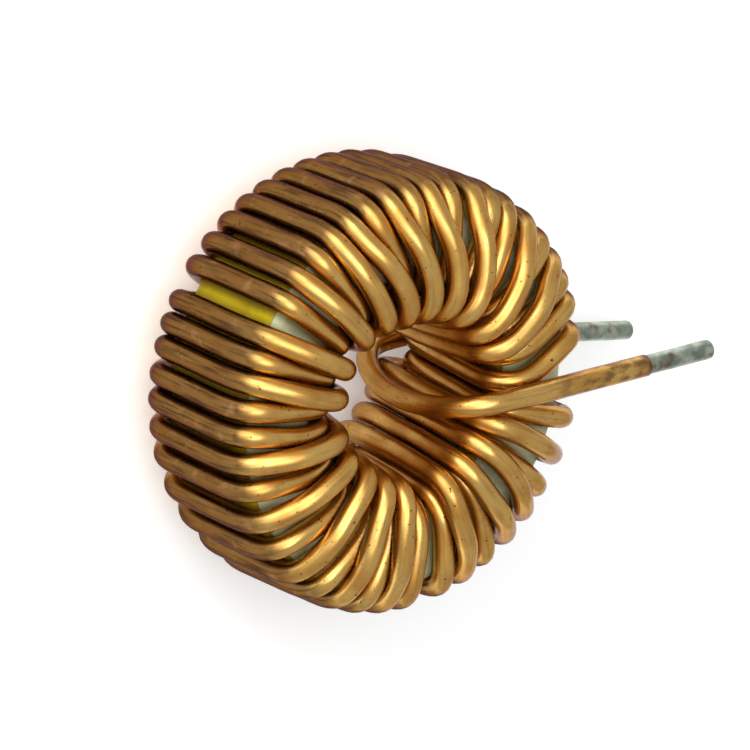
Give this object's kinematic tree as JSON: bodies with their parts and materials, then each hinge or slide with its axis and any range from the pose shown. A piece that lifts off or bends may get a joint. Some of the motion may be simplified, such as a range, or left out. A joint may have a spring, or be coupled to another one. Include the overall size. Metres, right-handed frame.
{
  "type": "radial inductor",
  "caption": "Radial inductor: thick enamelled copper wire wound by hand round a painted powdered-iron ring, with straight tinned leads leaving on one side.",
  "frame": {"origin": "middle of the whole object's box, on the floor it lies on", "axes": "+Z along the ring's axis, painted face up; +X the way both leads leave; +Y across the ring"},
  "size_m": [0.0382, 0.0266, 0.0132],
  "materials": {
    "core_paint": "satin yellow epoxy paint on pressed powdered iron",
    "face_paint": "satin grey-white epoxy paint",
    "enamelled_wire": "drawn copper under clear amber enamel, glossy",
    "solder": "dull solder dip over bare copper"
  },
  "bodies": {
    "root": {"core": "core_paint", "face_paint": "face_paint", "winding": "enamelled_wire", "front_lead_tinning": "solder", "rear_lead_tinning": "solder"}
  },
  "joints": []
}
